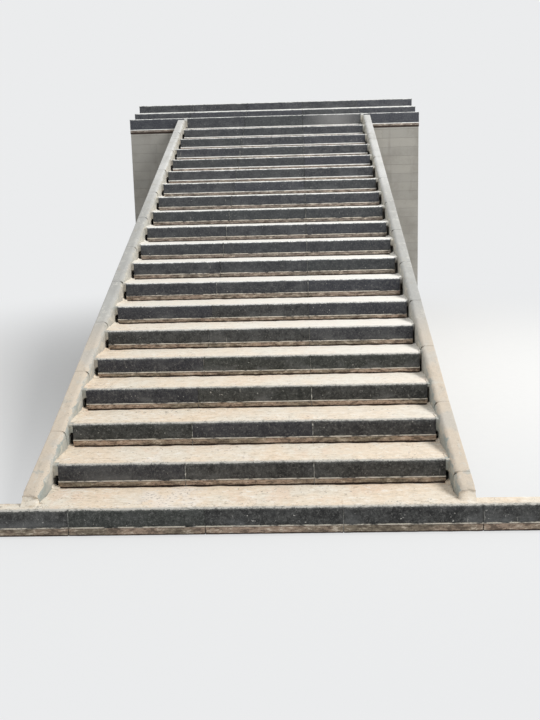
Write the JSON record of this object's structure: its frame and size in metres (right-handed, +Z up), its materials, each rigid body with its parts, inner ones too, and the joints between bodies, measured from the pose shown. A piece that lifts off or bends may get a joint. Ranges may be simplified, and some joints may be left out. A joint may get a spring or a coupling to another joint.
{
  "type": "outdoor stone steps",
  "caption": "Straight garden flight of dark step stones with concrete treads between two sloping kerbs, a wide lowest course and wide top courses on a walled base.",
  "frame": {"origin": "middle of the footprint, on the ground at the foot of the steps", "axes": "+Y is the way up the steps, so the risers face -Y; +X is to the right of a person who climbs; +Z is up"},
  "size_m": [5.397, 11.811, 3.726],
  "materials": {
    "step_stone": "matte",
    "tread_concrete": "matte",
    "kerb_concrete": "matte",
    "base_concrete": "matte"
  },
  "bodies": {
    "root": {"step_01": "step_stone", "step_02": "step_stone", "step_03": "step_stone", "step_04": "step_stone", "step_05": "step_stone", "step_06": "step_stone", "step_07": "step_stone", "step_08": "step_stone", "step_09": "step_stone", "step_10": "step_stone", "step_11": "step_stone", "step_12": "step_stone", "step_13": "step_stone", "step_14": "step_stone", "step_15": "step_stone", "step_16": "step_stone", "step_17": "step_stone", "step_18": "step_stone", "step_19": "step_stone", "step_20": "step_stone", "step_21": "step_stone", "step_22": "step_stone", "treads": "tread_concrete", "left_kerb": "kerb_concrete", "right_kerb": "kerb_concrete", "flight_slab": "base_concrete", "left_cheek_wall": "base_concrete", "right_cheek_wall": "base_concrete", "terrace_front_wall": "base_concrete", "terrace_left_wall": "base_concrete", "terrace_right_wall": "base_concrete", "terrace_slab": "base_concrete", "terrace_back_wall": "base_concrete"}
  },
  "joints": []
}
